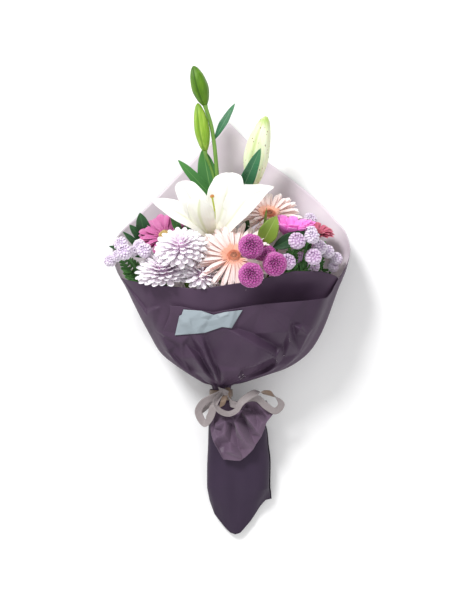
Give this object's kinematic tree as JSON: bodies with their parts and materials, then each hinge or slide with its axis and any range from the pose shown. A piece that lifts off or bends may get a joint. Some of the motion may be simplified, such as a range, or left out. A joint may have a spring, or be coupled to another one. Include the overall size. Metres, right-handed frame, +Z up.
{
  "type": "mixed flower bouquet",
  "caption": "Hand-tied bouquet of lily, gerberas, chrysanthemums and pompons in a plum wrapper with a ribbon, lying on its back.",
  "frame": {"origin": "middle of the flat back of the wrapper, on the surface that the bouquet lies on", "axes": "+Y from the cut stems towards the blooms and buds, +Z up from the surface, +X to the right seen from above"},
  "size_m": [0.3301, 0.6385, 0.1787],
  "materials": {
    "wrapper_plum": "satin film over paper",
    "wrapper_satin": "satin",
    "label_bare": "smooth, bare",
    "tie": "rough",
    "ribbon": "translucent, ribbed",
    "lily_white": "soft, waxy",
    "pistil": "soft",
    "bud_green": "waxy",
    "bud_pale": "waxy",
    "eye_peach": "tufted",
    "eye_yellow": "tufted",
    "petal_peach": "soft",
    "petal_coral": "soft",
    "petal_pink": "soft",
    "leaf_green": "waxy",
    "stem_green": "waxy",
    "mum_white": "soft",
    "pompon_magenta": "soft florets",
    "pompon_pale": "soft florets",
    "pompon_lilac": "soft florets",
    "leaf_bright": "waxy",
    "leaf_dark": "glossy"
  },
  "bodies": {
    "root": {"bud_left": "bud_green", "bud_right": "bud_pale", "bud_top": "bud_green", "gerbera_coral_eye": "eye_yellow", "gerbera_coral_petals": "petal_coral", "gerbera_coral_stem": "stem_green", "gerbera_peach_front_eye": "eye_peach", "gerbera_peach_front_petals": "petal_peach", "gerbera_peach_front_stem": "stem_green", "gerbera_peach_rear_eye": "eye_peach", "gerbera_peach_rear_petals": "petal_peach", "gerbera_peach_rear_stem": "stem_green", "gerbera_pink_left_eye": "eye_yellow", "gerbera_pink_left_petals": "petal_pink", "gerbera_pink_left_stem": "stem_green", "gerbera_pink_right_eye": "eye_yellow", "gerbera_pink_right_petals": "petal_pink", "gerbera_pink_right_stem": "stem_green", "label_strip": "label_bare", "leaf_dark_middle": "leaf_dark", "leaf_dark_right": "leaf_dark", "leaves_bright": "leaf_bright", "leaves_left": "leaf_dark", "leaves_under_lily": "leaf_green", "lilac_front_1": "pompon_lilac", "lilac_front_2": "pompon_lilac", "lilac_front_3": "pompon_lilac", "lilac_front_4": "pompon_lilac", "lilac_front_5": "pompon_lilac", "lilac_front_stems": "leaf_green", "lilac_left_1": "pompon_lilac", "lilac_left_2": "pompon_lilac", "lilac_left_3": "pompon_lilac", "lilac_left_stems": "leaf_green", "lilac_rear_1": "pompon_pale", "lilac_rear_2": "pompon_pale", "lilac_rear_3": "pompon_pale", "lilac_rear_4": "pompon_pale", "lilac_rear_5": "pompon_pale", "lilac_rear_stems": "leaf_green", "lily_petals": "lily_white", "lily_pistil": "pistil", "lily_stem": "stem_green", "magenta_behind": "pompon_magenta", "magenta_low": "pompon_magenta", "magenta_right": "pompon_magenta", "magenta_stems": "leaf_green", "magenta_top": "pompon_magenta", "mum_left": "mum_white", "mum_low": "mum_white", "mum_stems": "leaf_green", "mum_top": "mum_white", "ribbon": "ribbon", "stem_wrap": "wrapper_satin", "tie_string": "tie", "wrap_sheet": "wrapper_plum"}
  },
  "joints": []
}
